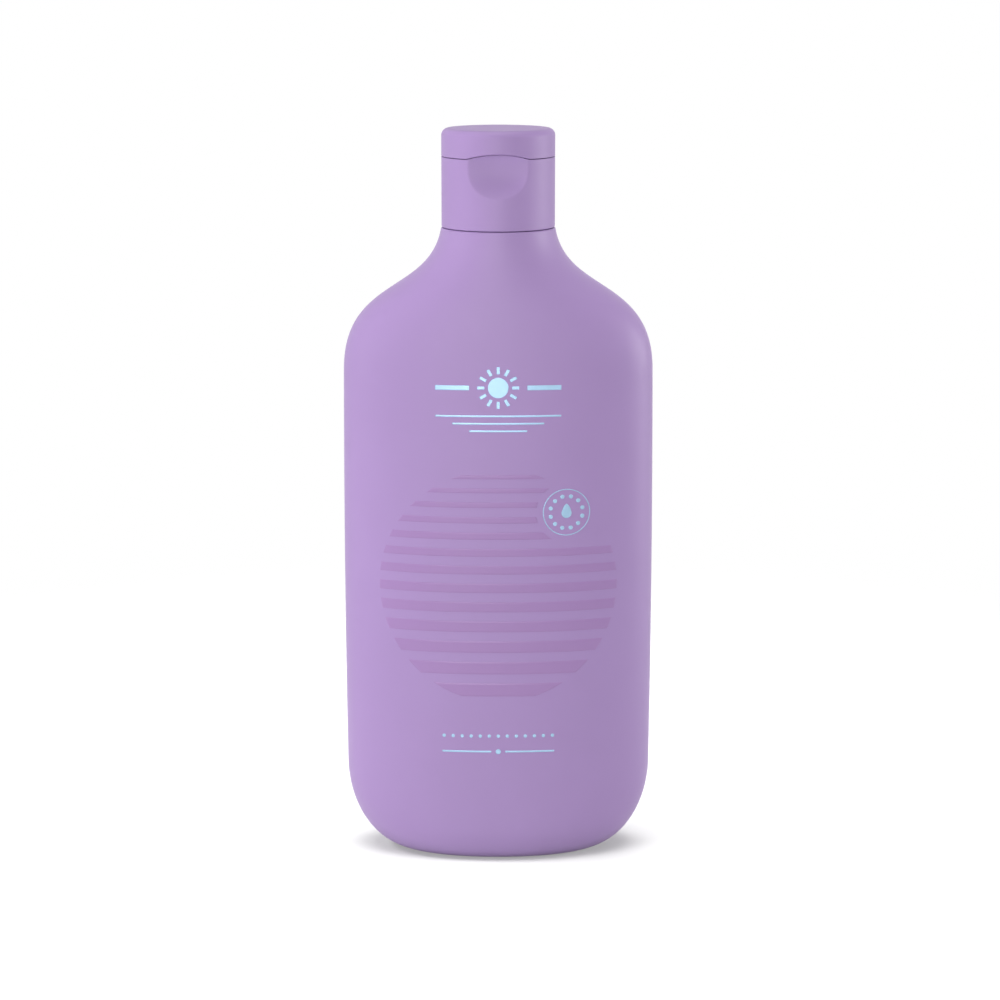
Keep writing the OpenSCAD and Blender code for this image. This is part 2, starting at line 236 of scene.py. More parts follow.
drop = wall * (1 - 2 * np.clip((lining[:, 3] - heel_side_h) / (shoulder_z - heel_side_h), 0, 1))
lining[:, :2] -= wall
lining[:, 3] += drop
floor_rings = hollow[::-2].copy()
floor_rings[:, 3] += wall
table = np.vstack([hollow, standing, outside, ledge, fillet, neck, mouth, bore, throat, lining,
                   floor_rings])
shell_points = oval_points(table, bottle_turns)

first_wall = len(hollow) + len(standing)
walls = slice(first_wall, first_wall + len(outside) + len(ledge))
first_neck = walls.stop + len(fillet)
neck_rows = slice(first_neck, first_neck + len(neck))
x, y, z = (shell_points[..., i] for i in range(3))
seam = np.exp(-(y / seam_w) ** 2)
x[walls] += np.sign(x[walls]) * seam_h * seam[walls]
pinch = np.exp(-(y[:len(hollow)] / pinch_w) ** 2) * np.clip((1 - share[:, None]) * 6, 0, 1)
z[:len(hollow)] -= np.minimum(pinch_h, 0.6 * z[:len(hollow)]) * pinch
ridge = 1 + thread_depth / neck_r * screw_rise(bottle_turns[None], z[neck_rows], thread_low_z)
x[neck_rows] *= ridge
y[neck_rows] *= ridge
bottle = weld("bottle_shell_skin", [(shell_points, False)])
lilac = (0.425, 0.288, 0.574, 1)


def new_finish(name):
    """A new material, with its node tree and its shader's inputs."""
    material = bpy.data.materials.new(name)
    material.use_nodes = True
    tree = material.node_tree
    return material, tree, tree.nodes["Principled BSDF"].inputs


def noise(tree, size, detail):
    """A soft random pattern in the piece's own axes, with patches of about the size."""
    node = tree.nodes.new("ShaderNodeTexNoise")
    node.inputs["Scale"].default_value = 1 / size
    node.inputs["Detail"].default_value = detail
    place = tree.nodes.new("ShaderNodeTexCoord").outputs["Object"]
    tree.links.new(place, node.inputs["Vector"])
    return node.outputs["Fac"]


def drift(tree, pattern, colour, dark, light):
    """The colour, as it drifts with a noise pattern between the shares dark and light of itself."""
    ramp = tree.nodes.new("ShaderNodeValToRGB")
    low, high = ramp.color_ramp.elements
    low.position, high.position = 0.3, 0.7
    low.color = [c * dark for c in colour[:3]] + [1]
    high.color = [min(1, c * light) for c in colour[:3]] + [1]
    tree.links.new(pattern, ramp.inputs["Fac"])
    return ramp.outputs["Color"]


def wander(tree, pattern, middle, swing):
    """A value that wanders with a pattern, by the swing to either side of the middle."""
    span = tree.nodes.new("ShaderNodeMapRange")
    span.inputs["To Min"].default_value = middle - swing
    span.inputs["To Max"].default_value = middle + swing
    tree.links.new(pattern, span.inputs["Value"])
    return span.outputs["Result"]


def relief(tree, pattern, strength, depth):
    """The slopes of a face whose height follows a pattern."""
    bump = tree.nodes.new("ShaderNodeBump")
    bump.inputs["Strength"].default_value = strength
    bump.inputs["Distance"].default_value = depth
    tree.links.new(pattern, bump.inputs["Height"])
    return bump.outputs["Normal"]


def satin_plastic(name, colour, roughness, grain):
    """Moulded plastic: a soft satin from fine grain in the mould's face, a faint flow of the colour, and
    roughness that wanders a little. grain is the size of the mould's texture in metres."""
    material, tree, inputs = new_finish(name)
    tree.links.new(drift(tree, noise(tree, 22 * MM, 3), colour, 0.985, 1.015), inputs["Base Color"])
    tree.links.new(wander(tree, noise(tree, 3 * MM, 4), roughness, 0.04), inputs["Roughness"])
    tree.links.new(relief(tree, noise(tree, grain, 2), 0.25, grain * 0.08), inputs["Normal"])
    inputs["IOR"].default_value = 1.5
    inputs["Specular IOR Level"].default_value = 0.35
    inputs["Subsurface Weight"].default_value = 0.06
    inputs["Subsurface Radius"].default_value = (1.0, 0.7, 1.2)
    inputs["Subsurface Scale"].default_value = 0.6 * MM
    return material


bottle.data.materials.append(satin_plastic("bottle_satin", lilac, 0.46, 0.3 * MM))
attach(bottle, "bottle")
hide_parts("bottle_shell")


# Gasket: a white foam washer that lies on the neck's mouth, and that the closure presses down.
# It is die-cut from sheet, so its faces are flat and its edges square.
gasket_low, gasket_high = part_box("neck_gasket")


def profile(corners, spacing, joined):
    """Points along the straight runs between corners, each [radius, height, fillet]. Each filleted corner
    becomes an arc, and runs are split to about the spacing. The path is closed where joined."""
    def between(start, end):
        splits = max(1, math.ceil(np.linalg.norm(end - start) / spacing))
        return list(np.linspace(start, end, splits + 1)[1:-1])

    count = len(corners)
    points = []
    for i, (r, z, fillet) in enumerate(corners):
        here = np.array([r, z])
        ends = not joined and i in (0, count - 1)
        if ends or fillet == 0:
            arc = [here]
        else:
            back = np.array(corners[i - 1][:2]) - here
            ahead = np.array(corners[(i + 1) % count][:2]) - here
            back, ahead = back / np.linalg.norm(back), ahead / np.linalg.norm(ahead)
            half = math.acos(np.clip(back @ ahead, -1, 1)) / 2
            middle = here + (back + ahead) / np.linalg.norm(back + ahead) * fillet / math.sin(half)
            first = here + back * fillet / math.tan(half) - middle
            last = here + ahead * fillet / math.tan(half) - middle
            swing = math.pi - 2 * half
            t = np.linspace(0, 1, 7)[:, None]
            bend = first * np.sin(swing * (1 - t)) + last * np.sin(swing * t)
            arc = list(middle + bend / math.sin(swing))
        if points:
            points += between(points[-1], arc[0])
        points += arc
    if joined:
        points += between(points[-1], points[0])
    return np.array(points)


def turned(path, turns):
    """The path swept round the upright axis: x and y are the radius times each turn's cosine and sine."""
    r, z = path[:, 0, None], path[:, 1, None] + 0 * turns[None]
    return np.stack([r * np.cos(turns)[None], r * np.sin(turns)[None], z], -1)


gasket_round = 0.06 * MM
ring_path = profile([
    [bore_r, gasket_low.z, gasket_round], [gasket_high.x, gasket_low.z, gasket_round],
    [gasket_high.x, gasket_high.z, gasket_round], [bore_r, gasket_high.z, gasket_round]], 0.5 * MM, True)
gasket = weld("neck_gasket_skin", [(turned(ring_path, np.linspace(0, 2 * math.pi, 145)[:-1]), True)])


def foam(name, colour, cell):
    """Closed-cell foam: cells of the given size pit the face, with painted shade darkening the white in
    each pit.
    """
    material, tree, inputs = new_finish(name)
    cells = tree.nodes.new("ShaderNodeTexVoronoi")
    cells.inputs["Scale"].default_value = 1 / cell
    tree.links.new(tree.nodes.new("ShaderNodeTexCoord").outputs["Object"], cells.inputs["Vector"])
    # Painted shade: the white is a little darker where the cell distance is low, at the bottom of each pit.
    pit_shade_ramp = tree.nodes.new("ShaderNodeValToRGB")
    pit_shade_ramp.color_ramp.elements[0].color = [c * 0.9 for c in colour[:3]] + [1]
    pit_shade_ramp.color_ramp.elements[1].color = colour
    tree.links.new(cells.outputs["Distance"], pit_shade_ramp.inputs["Fac"])
    tree.links.new(pit_shade_ramp.outputs["Color"], inputs["Base Color"])
    tree.links.new(relief(tree, cells.outputs["Distance"], 0.5, cell * 0.3), inputs["Normal"])
    inputs["Roughness"].default_value = 0.85
    return material


gasket.data.materials.append(foam("foam_white", (0.86, 0.85, 0.82, 1), 0.25 * MM))
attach(gasket, "gasket")
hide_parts("neck_gasket")


# Closure base: one lilac moulding that screws down on the neck until its skirt is just clear of the ledge.
# A dished deck carries the nozzle, a spigot under it plugs the bore, and a thumb scoop is sunk in front.
# A low sill over the scoop fills the arch in the lid's edge, and a flat with pockets takes the hinge.
film_low, film_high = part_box("hinge_film_left")
strap_low, strap_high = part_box("snap_strap")
deck_under = gasket_high.z
skirt_low = closure_low.z
nozzle_top = closure_high.z
rim_z = skirt_low + 15.7 * MM
deck_z = rim_z + 1 * MM
dish_z = deck_z - 0.5 * MM
plateau_r, bead_r = 10.7 * MM, 11.0 * MM
nozzle_r, orifice_r = 2.9 * MM, 1.7 * MM
spigot_r, spigot_in_r = bore_r - 0.1 * MM, bore_r - 1.2 * MM
spigot_low = deck_under - 4 * MM
cavity_r = gasket_high.x + 0.2 * MM
skirt_in_r = closure_r - 1.4 * MM
skirt_open_z = skirt_low + 4.6 * MM
thread_gap = 0.2 * MM
flank_lean = (thread_root_w - thread_crest_w) / 2
flank_step = thread_crest_w + flank_lean * (1 - thread_gap / thread_depth)
inner_thread_low_z = thread_low_z - flank_step - thread_gap
hinge_y = film_high.y
flat_low_z = rim_z - 3.4 * MM
strap_half_w, strap_floor_y = 1.6 * MM, hinge_y - 0.6 * MM
film_in_x, film_out_x, film_floor_y = 2.25 * MM, 3.75 * MM, hinge_y - 0.4 * MM
scoop_floor_y, scoop_r, scoop_axis_z = 10.62 * MM, 9.5 * MM, rim_z - 2.4 * MM
scoop_hollow = 6.4
scoop_edge = 0.16 * MM
arch_h, arch_half_w = 1.0 * MM, 6.95 * MM
arch_r = (arch_half_w ** 2 + arch_h ** 2) / (2 * arch_h)
pair_gap = 0.02 * MM
far_off = 1.0


def split_at(levels, low, high, spacing):
    """Heights from low to high at about the spacing, with a close pair of heights at each of the levels."""
    even = np.linspace(low, high, max(2, round((high - low) / spacing) + 1))
    pairs = np.array([level + side * pair_gap for level in levels for side in (-1, 1)])
    inside = pairs[(pairs > low) & (pairs < high)]
    clear = np.min(np.abs(even[:, None] - inside[None]), 1) > 2 * pair_gap
    return np.sort(np.concatenate([even[clear], inside]))


def hinge_face(turns, z, pocket_to_strap, pocket_to_film):
    """Distance from the axis, in the direction of each turn, of the flat at the back and its pockets."""
    across = np.abs(hinge_y * np.tan(math.pi / 2 - turns))
    at_back = np.sin(turns) > 0.5
    y = np.full(np.broadcast(turns, z).shape, hinge_y)
    y = np.where(pocket_to_strap & (across < strap_half_w), strap_floor_y, y)
    y = np.where(pocket_to_film & (across > film_in_x) & (across < film_out_x), film_floor_y, y)
    return np.where(at_back, y / np.maximum(np.sin(turns), 0.5), far_off)


def closure_turns():
    """Columns close together over the scoop and at the pockets' edges, and 3 degrees apart elsewhere."""
    front = -math.pi / 2 + np.radians(np.arange(-36, 36.3, 0.6))
    edges = np.arctan2(np.array([strap_half_w, film_in_x, film_out_x]), hinge_y)
    edges = np.concatenate([edges - 0.002, edges + 0.002])
    flat_edge = math.acos(hinge_y / closure_r)
    between = np.radians(np.arange(-24, 25, 3) + 0.7)
    back = np.sort(np.concatenate([edges, -edges, [-flat_edge, flat_edge], between]))
    right = np.radians(np.arange(-51, 64, 3))
    return np.concatenate([front, right, math.pi / 2 + back, math.pi - right[::-1]]) % (2 * math.pi)


cap_turns = np.sort(closure_turns())
outer_low = profile([[skirt_in_r, skirt_low, 0.15 * MM], [closure_r, skirt_low, 0.2 * MM],
                     [closure_r, skirt_low + 5.8 * MM, 0]], 0.6 * MM, False)
scoop_rows = split_at([flat_low_z, strap_low.z, film_low.z], skirt_low + 6 * MM, rim_z - 0.17 * MM,
                      0.15 * MM)
outer_high = np.stack([np.full(len(scoop_rows), closure_r), scoop_rows], 1)
crown = profile([
    [closure_r, rim_z - 0.13 * MM, 0], [closure_r, rim_z, 0.1 * MM], [plateau_r, rim_z, 0.08 * MM],
    [plateau_r, rim_z + 0.15 * MM, 0.08 * MM], [bead_r, (rim_z + deck_z) / 2, 0.12 * MM],
    [plateau_r, deck_z, 0.12 * MM], [plateau_r - 1.5 * MM, deck_z, 0.15 * MM],
    [plateau_r - 2 * MM, dish_z, 0.2 * MM], [nozzle_r, dish_z, 0.3 * MM],
    [nozzle_r, nozzle_top, 0.25 * MM], [orifice_r, nozzle_top, 0.12 * MM],
    [orifice_r, deck_under, 0.05 * MM], [spigot_in_r, deck_under, 0.1 * MM],
    [spigot_in_r, spigot_low, 0.08 * MM], [spigot_r - 0.2 * MM, spigot_low, 0.08 * MM],
    [spigot_r, spigot_low + 0.6 * MM, 0.1 * MM], [spigot_r, deck_under, 0.1 * MM],
    [cavity_r, deck_under, 0.05 * MM], [cavity_r, deck_under - 0.3 * MM, 0]], 0.4 * MM, False)
thread_z = np.arange(deck_under - 0.45 * MM, skirt_open_z + 0.15 * MM, -0.15 * MM)
threaded = np.stack([np.full(len(thread_z), cavity_r), thread_z], 1)
open_skirt = profile([
    [cavity_r, skirt_open_z + 0.1 * MM, 0], [cavity_r, skirt_open_z, 0.05 * MM],
    [skirt_in_r, skirt_open_z - 0.3 * MM, 0.1 * MM], [skirt_in_r, skirt_low + 0.2 * MM, 0]],
    0.6 * MM, False)
cap_path = np.vstack([outer_low, outer_high, crown, threaded, open_skirt])
rows = np.cumsum([0, len(outer_low), len(outer_high), len(crown), len(threaded), len(open_skirt)])
face_rows = slice(0, rows[2] + int(np.argmax(crown[:, 0] < nozzle_r + 3 * MM)))
crown_rows = slice(rows[2], rows[2] + int(np.argmax(crown[:, 0] < plateau_r - 0.5 * MM)))
wall_rows = slice(rows[3], rows[4])
cap_r = cap_path[:, 0, None] + 0 * cap_turns[None]
cap_z = cap_path[:, 1, None] + 0 * cap_turns[None]
cap_r[wall_rows] -= thread_depth * screw_rise(cap_turns[None], cap_z[wall_rows], inner_thread_low_z)


def scoop_face(turns, z):
    """Distance from the axis of the scoop's floor. Seen from the side the floor stands straight above
    scoop_axis_z and is a circle of scoop_r below it. Seen from above it is a shallow hollow, whose floor
    comes forward by scoop_hollow times x squared."""
    drop = np.clip(scoop_axis_z - z, 0, scoop_r)
    from_front = np.cos(turns + math.pi / 2)
    floor = scoop_floor_y + scoop_r - np.sqrt(scoop_r ** 2 - drop ** 2)
    x = floor * np.tan(turns + math.pi / 2)
    floor = floor + scoop_hollow * x ** 2 * (np.abs(x) < closure_r)
    return np.where(from_front > 0.6, floor / np.maximum(from_front, 0.6), far_off)


def arch_rise(x, turns):
    """Rise at x of the arch over the scoop, a circle through both ends of the scoop, and 0 elsewhere."""
    off = np.minimum(np.abs(x), arch_half_w)
    under = (off < arch_half_w) & (np.sin(turns) < 0)
    return np.where(under, arch_h - arch_r + np.sqrt(arch_r ** 2 - off ** 2), 0)


def soft_least(a, b, width):
    """The lesser of a and b, with the crease between them rounded to a hyperbola of about the width."""
    return (a + b - np.sqrt((a - b) ** 2 + width ** 2)) / 2


scoop_lean, flat_lean = 0.1, 0.02
face_z = cap_z[face_rows].copy()
face_r = cap_r[face_rows]
for _ in range(2):
    cut_away = np.clip(face_r - scoop_face(cap_turns[None], face_z), 0, None)
    face_z = cap_z[face_rows] - scoop_lean * cut_away
scooped = soft_least(face_r, scoop_face(cap_turns[None], face_z), scoop_edge)
scooped = np.where(cut_away > 0, scooped, np.minimum(scooped, face_r))
flat = hinge_face(cap_turns[None], face_z, face_z > strap_low.z, face_z > film_low.z)
flattened = np.where(face_z > flat_low_z, np.minimum(scooped, flat), scooped)
near_rim = face_z > rim_z - 0.25 * MM
cap_z[face_rows] = face_z - flat_lean * np.clip(scooped - flattened, 0, None) * near_rim
cap_r[face_rows] = flattened
sill = arch_rise(cap_r[crown_rows] * np.cos(cap_turns)[None], cap_turns[None])
on_rim = cap_path[crown_rows, 1, None] < rim_z + pair_gap
cap_z[crown_rows] = np.where(on_rim, cap_z[crown_rows] + sill, np.maximum(cap_z[crown_rows], rim_z + sill))
cap_points = np.stack([cap_r * np.cos(cap_turns), cap_r * np.sin(cap_turns), cap_z], -1)
closure = weld("closure_base_skin", [(cap_points, True)])
closure_satin = satin_plastic("closure_satin", lilac, 0.5, 0.25 * MM)
closure.data.materials.append(closure_satin)
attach(closure, "closure")
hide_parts("closure_base")


# Flip lid: a lilac cover that snaps over the deck's bead. A pin and a ring inside it close the nozzle.
# Its front edge arches over the thumb scoop, and its back has the hinge's flat and pockets.
lid_low, lid_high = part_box("flip_lid")
lid_in_r = closure_r - 1.6 * MM
ceiling_z = lid_high.z - 1.1 * MM
pin_r, pin_low = orifice_r - 0.25 * MM, nozzle_top - 0.9 * MM
collar_in_r, collar_r, collar_low = nozzle_r + 0.25 * MM, nozzle_r + 1.05 * MM, nozzle_top - 1.1 * MM
lid_round, lid_lip_round = 1.6 * MM, 0.5 * MM
lid_flat_high = lid_low.z + 3.4 * MM
middle_r = 0.1 * MM
lid_inside = profile([
    [middle_r, pin_low, 0], [pin_r, pin_low, 0.25 * MM],
    [pin_r, ceiling_z, 0.1 * MM], [collar_in_r, ceiling_z, 0.1 * MM],
    [collar_in_r, collar_low, 0.15 * MM], [collar_r, collar_low, 0.15 * MM],
    [collar_r, ceiling_z, 0.2 * MM], [lid_in_r, ceiling_z, 0.3 * MM],
    [lid_in_r, lid_low.z, 0.08 * MM], [closure_r, lid_low.z, 0.09 * MM],
    [closure_r, lid_low.z + 0.15 * MM, 0]], 0.45 * MM, False)
lip_rows = lid_low.z + np.arange(0.2, 0.56, 0.06) * MM
side_rows = split_at([film_high.z, strap_high.z, lid_flat_high], lid_low.z + 0.65 * MM,
                     lid_high.z - lid_round - 0.1 * MM, 0.3 * MM)
lid_rows = np.concatenate([lip_rows, side_rows])
lid_side = np.stack([np.full(len(lid_rows), closure_r), lid_rows], 1)
round_over = np.radians(np.linspace(0, 90, 13))
lid_corner = np.stack([closure_r - lid_round * (1 - np.cos(round_over)),
                       lid_high.z - lid_round * (1 - np.sin(round_over))], 1)
lid_cap_r = np.concatenate([np.linspace(closure_r - lid_round - 0.05 * MM, 1 * MM, 12), [middle_r]])
lid_cap = np.stack([lid_cap_r, np.full(len(lid_cap_r), lid_high.z)], 1)
lid_path = np.vstack([lid_inside, lid_side, lid_corner, lid_cap])
lid_r = lid_path[:, 0, None] + 0 * cap_turns[None]
lid_z = lid_path[:, 1, None] + 0 * cap_turns[None]
outer = slice(int(np.argmax(lid_path[:, 0] > lid_in_r)), len(lid_inside) + len(lid_side))
lid_face = hinge_face(cap_turns[None], lid_z[outer], lid_z[outer] < strap_high.z,
                      lid_z[outer] < film_high.z)
lid_flat = np.where(lid_z[outer] < lid_flat_high, np.minimum(lid_r[outer], lid_face), lid_r[outer])
at_edge = lid_z[outer] < lid_low.z + 0.1 * MM
lid_z[outer] += flat_lean * (lid_r[outer] - lid_flat) * at_edge
lid_r[outer] = lid_flat
edge_rows = slice(int(np.argmax(lid_path[:, 0] >= lid_in_r - 0.01 * MM)), outer.stop)
edge_x = lid_r[edge_rows] * np.cos(cap_turns)[None]
above_edge = np.clip(lid_z[edge_rows] - lid_low.z, 0, None)
arch = arch_rise(edge_x, cap_turns[None])
lip_down = np.clip(1 - above_edge / lid_lip_round, 0, 1)
lip = np.clip(arch / (0.4 * MM), 0, 1) * (1 - np.sqrt(1 - lip_down ** 2))
across_wall = np.clip((lid_r[edge_rows] - lid_in_r) / (closure_r - lid_in_r), 0, 1)
lid_r[edge_rows] -= lid_lip_round * lip * across_wall
lid_z[edge_rows] += arch * np.clip(1 - above_edge / (3 * MM), 0, 1)
lid_points = np.stack([lid_r * np.cos(cap_turns), lid_r * np.sin(cap_turns), lid_z], -1)
lid = weld("flip_lid_skin", [(lid_points, False)])
lid.data.materials.append(closure_satin)
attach(lid, "lid")
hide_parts("flip_lid")


# Hinge: two thin films join the lid to the closure base, and a strap between them snaps it open or shut.
# They are moulded in one with both.
web_corner = 0.25


def web(name, low, high, count):
    """A thin upright web between two corners, with that count of rows up its height. Its long edges are
    rounded: x and y go as the cosine and the sine of the turn, each raised to the power web_corner."""
    z = np.linspace(low.z, high.z, count)
    turn = np.radians(np.arange(0, 360, 15) + 7.5)
    c, s = np.cos(turn), np.sin(turn)
    x = (low.x + high.x) / 2 + (high.x - low.x) / 2 * np.sign(c) * np.abs(c) ** web_corner
    y = (low.y + high.y) / 2 + (high.y - low.y) / 2 * np.sign(s) * np.abs(s) ** web_corner
    points = np.stack(np.broadcast_arrays(x[None], y[None], z[:, None]), -1)
    piece = weld(name, [(points, False)])
    piece.data.materials.append(closure_satin)
    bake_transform(piece)
    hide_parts(name.removesuffix("_skin"))


web("hinge_film_left_skin", film_low, film_high, 17)
web("hinge_film_right_skin", *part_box("hinge_film_right"), 17)
web("snap_strap_skin", strap_low, strap_high, 41)


# Print on the bottle's front: a sun between rules, a round badge and a foot rule in pale blue foil,
# and a sun of level stripes in gloss varnish, its colour the lilac painted darker as painted shade.
# Each lies on the curved face as a thin raised film, with its back sunk a little into the plastic.
foil_lift, foil_edge = 0.035 * MM, 0.05 * MM
varnish_lift, varnish_edge = 0.07 * MM, 0.22 * MM
print_sink = 0.05 * MM


def on_face(x, z, lift):
    """Points on the bottle's front, moved out by lift. On the oval face, x over the half width and y over
    the half depth, each raised to the oval power, add up to 1. That sum's slopes give the way outward."""
    a, b, n = half_w(z), half_d(z), oval_power
    y = b * (1 - np.abs(x / a) ** n) ** (1 / n)
    out_x = np.sign(x) * np.abs(x / a) ** (n - 1) / a
    out_y = (y / b) ** (n - 1) / b
    length = np.hypot(out_x, out_y)
    return np.stack([x + lift * out_x / length, -(y + lift * out_y / length), z + 0 * x], -1)


def film_height(inward, lift, edge):
    """A film's height at a distance inward from its rim: a quarter round as wide as edge, then level."""
    share = np.clip(inward / edge, 0, 1)
    return lift * np.sqrt(1 - (1 - share) ** 2)


def lens(centre_x, centre_z, reach):
    """A filled spot of foil. reach(turn) is its radius in each direction. Rows run from the middle over the
    rim to the back."""
    turn = np.linspace(0, 2 * math.pi, 73)[:-1][None]
    radius = reach(turn)
    share = np.array([0.02, 0.4, 0.75, 0.88, 0.95, 0.985, 1])[:, None]
    x = centre_x + share * radius * np.cos(turn)
    z = centre_z + share * radius * np.sin(turn)
    front = on_face(x, z, film_height((1 - share) * radius, foil_lift, foil_edge))
    return np.concatenate([front, on_face(x, z, -print_sink)[::-1]]), False


def dot(x, z, radius):
    """A round spot of foil."""
    return lens(x, z, lambda turn: radius + 0 * turn)


def hoop(centre_x, centre_z, inner, outer):
    """A thin ring of foil. Its rows go once round the line's section, over the front and then under it."""
    turn = np.linspace(0, 2 * math.pi, 121)[:-1][None]
    share = np.array([0, 0.08, 0.25, 0.5, 0.75, 0.92, 1])[:, None]
    radius = inner + (outer - inner) * share
    x = centre_x + radius * np.cos(turn)
    z = centre_z + radius * np.sin(turn)
    inward = (outer - inner) * np.minimum(share, 1 - share) + 0 * turn
    front = on_face(x, z, film_height(inward, foil_lift, foil_edge))
    return np.concatenate([front, on_face(x, z, -print_sink)[::-1]]), True


def bar(left, right, low, high, lift, edge, lean=0.0, pivot=(0.0, 0.0)):
    """A straight film from left to right and low to high, turned by lean round pivot. left and right may be
    functions of the height. Rows run along it, and columns go once round its section."""
    along = np.concatenate([[0, 0.004, 0.012], np.linspace(0.03, 0.97, 40), [0.988, 0.996, 1]])[:, None]
    across = np.array([0, 0.06, 0.14, 0.3, 0.5, 0.7, 0.86, 0.94, 1])[None]
    z = low + (high - low) * across + 0 * along
    start = left(z) if callable(left) else left
    stop = right(z) if callable(right) else right
    x = start + (stop - start) * along
    inward = np.minimum(np.minimum(x - start, stop - x), np.minimum(z - low, high - z))
    turned_x = pivot[0] + (x - pivot[0]) * math.cos(lean) - (z - pivot[1]) * math.sin(lean)
    turned_z = pivot[1] + (x - pivot[0]) * math.sin(lean) + (z - pivot[1]) * math.cos(lean)
    front = on_face(turned_x, turned_z, film_height(inward, lift, edge))
    back = on_face(turned_x, turned_z, -print_sink)
    return np.concatenate([front, back[:, ::-1]], 1), False


def rule(x, z, half_length, half_height, lean=0.0, pivot=(0.0, 0.0)):
    """A straight rule of foil with its middle at x and z, turned by lean round pivot."""
    ends = (x - half_length, x + half_length, z - half_height, z + half_height)
    return bar(*ends, foil_lift, foil_edge, lean, pivot)


def printed(name, parts, material):
    """One print element on the bottle, from its films, with every face turned outwards."""
    piece = weld(name, parts)
    shape = bmesh.new()
    shape.from_mesh(piece.data)
    bmesh.ops.recalc_face_normals(shape, faces=shape.faces)
    shape.to_mesh(piece.data)
    shape.free()
    piece.data.materials.append(material)
    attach(piece, "bottle")


def foil(name, colour, roughness):
    """Hot-stamped foil: a thin metal film that takes up the grain of the plastic under it. Its gloss and
    tint are a little uneven from the stamping."""
    material, tree, inputs = new_finish(name)
    cloud = noise(tree, 2.5 * MM, 3)
    tree.links.new(drift(tree, cloud, colour, 0.95, 1.04), inputs["Base Color"])
    tree.links.new(wander(tree, cloud, roughness, 0.05), inputs["Roughness"])
    tree.links.new(relief(tree, noise(tree, 0.25 * MM, 2), 0.2, 0.02 * MM), inputs["Normal"])
    inputs["Metallic"].default_value = 0.5
    return material


foil_film = foil("pale_blue_foil", (0.33, 0.51, 0.68, 1), 0.38)
# The varnish's colour is the lilac painted darker: painted shade for the sheen that the gloss film lacks.
# Its lower roughness is its real gloss.
varnish_with_painted_shade = satin_plastic("varnish_painted_shade", (0.404, 0.248, 0.528, 1), 0.32, 0.9 * MM)

sun_z = 111 * MM
rays = np.radians(np.arange(90, 450, 30))
sun_parts = [dot(0, sun_z, 2.3 * MM)]
sun_parts += [rule(3.9 * MM, sun_z, 0.8 * MM, 0.35 * MM, ray, (0, sun_z)) for ray in rays]
sun_parts += [rule(side * 10.3 * MM, sun_z, 3.8 * MM, 0.55 * MM) for side in (-1, 1)]
sun_parts += [rule(0, line_z * MM, half * MM, 0.2 * MM)
              for half, line_z in ((14.1, 104.6), (10.3, 102.9), (6.5, 101.2))]
printed("title_sun_foil", sun_parts, foil_film)

badge_x, badge_z, badge_r = 15.4 * MM, 82.5 * MM, 5.35 * MM
badge_dots_r = 3.7 * MM
drop_r, drop_tip, drop_flare = 1.15 * MM, 1.05 * MM, math.radians(62)


def drop_reach(turn):
    """A falling drop's radius: drop_r, and up to drop_tip more within drop_flare of the top."""
    from_top = np.abs((turn - math.pi / 2 + math.pi) % (2 * math.pi) - math.pi)
    return drop_r + drop_tip * np.clip(1 - from_top / drop_flare, 0, 1) ** 1.6


badge_parts = [hoop(badge_x, badge_z, badge_r - 0.2 * MM, badge_r),
               lens(badge_x, badge_z - 0.2 * MM, drop_reach)]
badge_parts += [dot(badge_x + badge_dots_r * math.cos(a), badge_z + badge_dots_r * math.sin(a), 0.48 * MM)
                for a in np.radians(np.arange(15, 375, 30))]
printed("badge_foil", badge_parts, foil_film)

foot_dots_z, foot_rule_z = 30.4 * MM, 26.7 * MM
foot_parts = [dot(x * MM, foot_dots_z, 0.4 * MM) for x in np.linspace(-12.4, 12.4, 13)]
foot_parts += [rule(side * 7.2 * MM, foot_rule_z, 5.6 * MM, 0.2 * MM) for side in (-1, 1)]
foot_parts += [dot(0, foot_rule_z, 0.6 * MM)]
printed("foot_foil", foot_parts, foil_film)

disc_z, disc_r = 65.5 * MM, 27 * MM
stripe_count, stripe_reach = 13, 25.7 * MM
stripe_h = np.linspace(0.9, 3.1, stripe_count) * MM
stripe_gap = (2 * stripe_reach - stripe_h.sum()) / (stripe_count - 1)
stripe_top = disc_z + stripe_reach - np.concatenate([[0], np.cumsum(stripe_h + stripe_gap)[:-1]])


def disc_left(z):
    """The disc's left edge, a circle, at the height z."""
    return -np.sqrt(disc_r ** 2 - (z - disc_z) ** 2)


def disc_right(z):
    """The disc's right edge, held back to leave a round clearing for the badge."""
    clearing = badge_r + 1.5 * MM
    kept = np.clip(clearing ** 2 - (z - badge_z) ** 2, 0, None)
    limit = np.where(kept > 0, badge_x - np.sqrt(kept), disc_r)
    return np.minimum(-disc_left(z), limit)


stripes = [bar(disc_left, disc_right, top - height, top, varnish_lift, varnish_edge)
           for top, height in zip(stripe_top, stripe_h)]
printed("striped_sun_varnish", stripes, varnish_with_painted_shade)


# Studio: a white table and background, with soft lamps all round the bottle and one above it.
# Three of these show in no reflection, and two more lamps light only the table.
# The camera stands in front of the bottle and looks down on it a little.
table_top = bpy.data.objects.new("table_top", bpy.data.meshes.new("table_top"))
table_top.data.from_pydata([(-3, -1.2, 0), (3, -1.2, 0), (3, 5, 0), (-3, 5, 0)], [], [(0, 1, 2, 3)])
bpy.context.scene.collection.objects.link(table_top)


def seen_directly(tree):
    """1 for rays from the camera, off gloss or through glass, and 0 for those that only carry light."""
    ray = tree.nodes.new("ShaderNodeLightPath")
    total = ray.outputs["Is Camera Ray"]
    for kind in ("Is Glossy Ray", "Is Transmission Ray"):
        either = tree.nodes.new("ShaderNodeMath")
        either.operation = "MAXIMUM"
        tree.links.new(total, either.inputs[0])
        tree.links.new(ray.outputs[kind], either.inputs[1])
        total = either.outputs["Value"]
    return total


